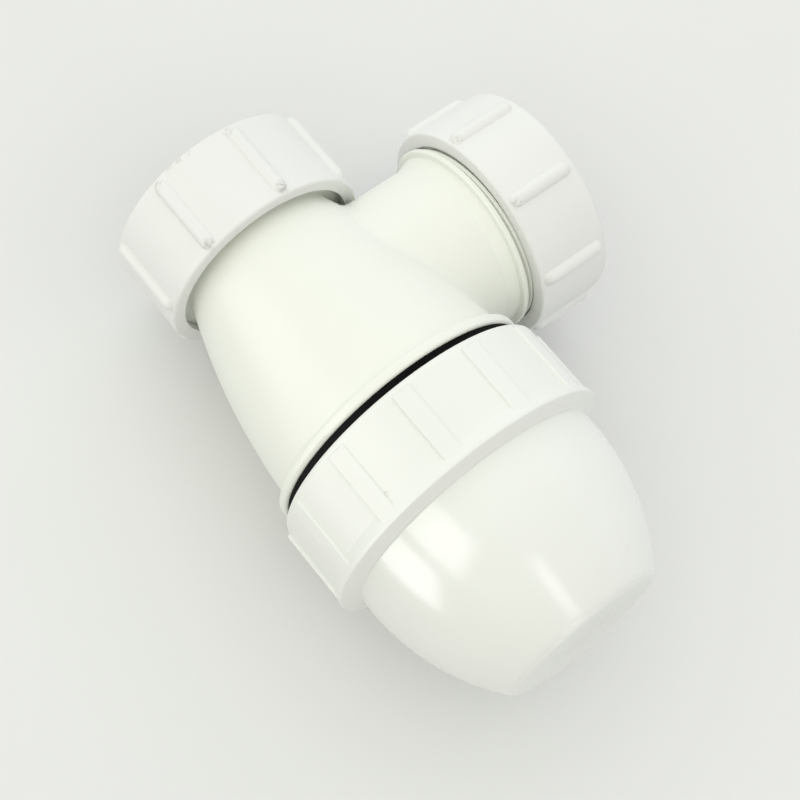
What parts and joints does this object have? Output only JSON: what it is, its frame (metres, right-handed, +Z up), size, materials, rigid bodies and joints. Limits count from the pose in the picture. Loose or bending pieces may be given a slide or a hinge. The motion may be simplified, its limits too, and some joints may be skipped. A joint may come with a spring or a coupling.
{
  "type": "sink bottle trap",
  "caption": "White plastic bottle trap: domed body with a side outlet, dip tube, screw-on cup for cleaning, captive inlet nut and compression outlet nut.",
  "frame": {"origin": "centre of the inlet washer's upper face, where the waste's tail seats", "axes": "+Z up, out of the inlet along the trap's axis; +X along the outlet"},
  "size_m": [0.1093, 0.08, 0.1493],
  "materials": {
    "body_plastic": "satin white",
    "tube_plastic": "satin white",
    "nut_plastic": "satin white",
    "ring_plastic": "natural",
    "cup_plastic": "glossy white",
    "rubber": "black"
  },
  "bodies": {
    "trap_body": {"trap_body": "body_plastic", "dip_tube": "tube_plastic", "inlet_washer": "rubber"},
    "inlet_nut": {"inlet_nut": "nut_plastic"},
    "outlet_seals": {"outlet_slip_ring": "ring_plastic", "outlet_cone_seal": "rubber"},
    "outlet_nut": {"outlet_nut": "nut_plastic"},
    "cup_seal": {"cup_seal": "rubber"},
    "cup": {"cup": "cup_plastic"}
  },
  "joints": [
    {"name": "inlet_nut_turn", "type": "hinge", "parent": "trap_body", "child": "inlet_nut", "pos_m": [0, 0, 0], "axis": [0, 0, 1], "continuous": true},
    {"name": "outlet_seal_slide", "type": "slide", "parent": "trap_body", "child": "outlet_seals", "axis": [1, 0, 0], "range_m": [0, 0.012]},
    {"name": "outlet_nut_turn", "type": "hinge", "parent": "outlet_seals", "child": "outlet_nut", "pos_m": [0, 0, -0.0332], "axis": [1, 0, 0], "range_deg": [0, 1080]},
    {"name": "cup_seal_slide", "type": "slide", "parent": "trap_body", "child": "cup_seal", "axis": [0, 0, -1], "range_m": [0, 0.015]},
    {"name": "cup_turn", "type": "hinge", "parent": "cup_seal", "child": "cup", "pos_m": [0, 0, 0], "axis": [0, 0, -1], "range_deg": [0, 1080]}
  ],
  "couplings": [
    {"joint": "outlet_seal_slide", "follows": "outlet_nut_turn", "m_per_rad": 0.00063662},
    {"joint": "cup_seal_slide", "follows": "cup_turn", "m_per_rad": 0.00079577}
  ]
}
